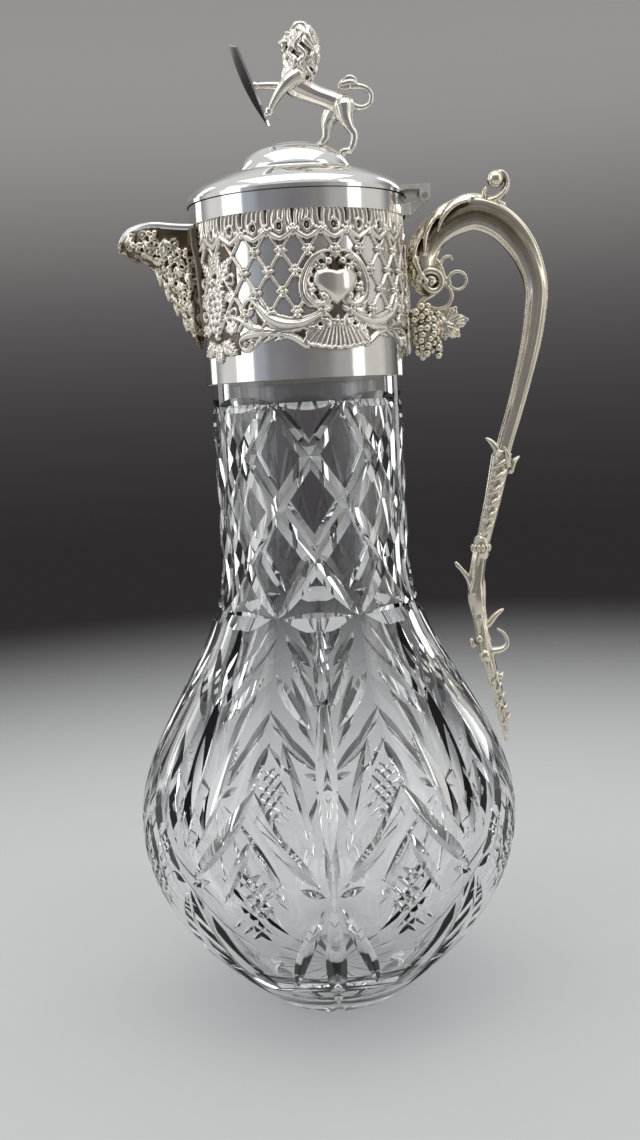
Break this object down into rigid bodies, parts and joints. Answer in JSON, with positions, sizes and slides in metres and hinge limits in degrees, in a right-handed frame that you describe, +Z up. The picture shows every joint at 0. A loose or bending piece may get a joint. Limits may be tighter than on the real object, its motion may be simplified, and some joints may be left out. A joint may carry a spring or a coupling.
{
  "type": "claret jug",
  "caption": "Cut-glass claret jug with a silver collar, trough spout, scrolling branch handle and a hinged domed lid under a lion finial.",
  "frame": {"origin": "centre of the underside of the glass foot", "axes": "+Z up the axis of the jug, -X towards the spout, +X towards the handle and the hinge, Y across"},
  "size_m": [0.1418, 0.1248, 0.3171],
  "materials": {
    "crystal_glass": "clear polished lead crystal",
    "plaster": "white setting plaster",
    "silver_plate": "bright silver plate",
    "silver_cast": "cast and chased silver plate, warm toned",
    "brass": "turned"
  },
  "bodies": {
    "jug": {"glass_body": "crystal_glass", "neck_cement": "plaster", "collar_tube": "silver_plate", "pierced_overlay": "silver_plate", "cartouche_near": "silver_plate", "cartouche_far": "silver_plate", "rim_ring": "silver_plate", "spout_body": "silver_cast", "spout_lip": "silver_plate", "handle_saddle": "silver_plate", "handle_scroll": "silver_cast", "thumb_scroll": "silver_cast", "handle_sheath": "silver_cast", "handle_knuckle": "silver_cast", "handle_branch": "silver_cast", "vine_tendril": "silver_cast", "vine_leaf": "silver_cast", "grape_cluster": "silver_cast", "collar_hinge_leaf": "silver_plate", "hinge_pin": "silver_plate"},
    "lid": {"lid_cover": "silver_plate", "lid_bezel": "silver_plate", "lid_hinge_leaf": "silver_plate", "lion_body": "silver_cast", "lion_tail": "silver_cast", "shield": "silver_plate", "finial_pegs": "silver_cast", "finial_nuts": "brass"}
  },
  "joints": [
    {"name": "lid_hinge", "type": "hinge", "parent": "jug", "child": "lid", "pos_m": [0.0406, 0, 0.2609], "axis": [0, 1, 0], "range_deg": [0, 100]}
  ]
}
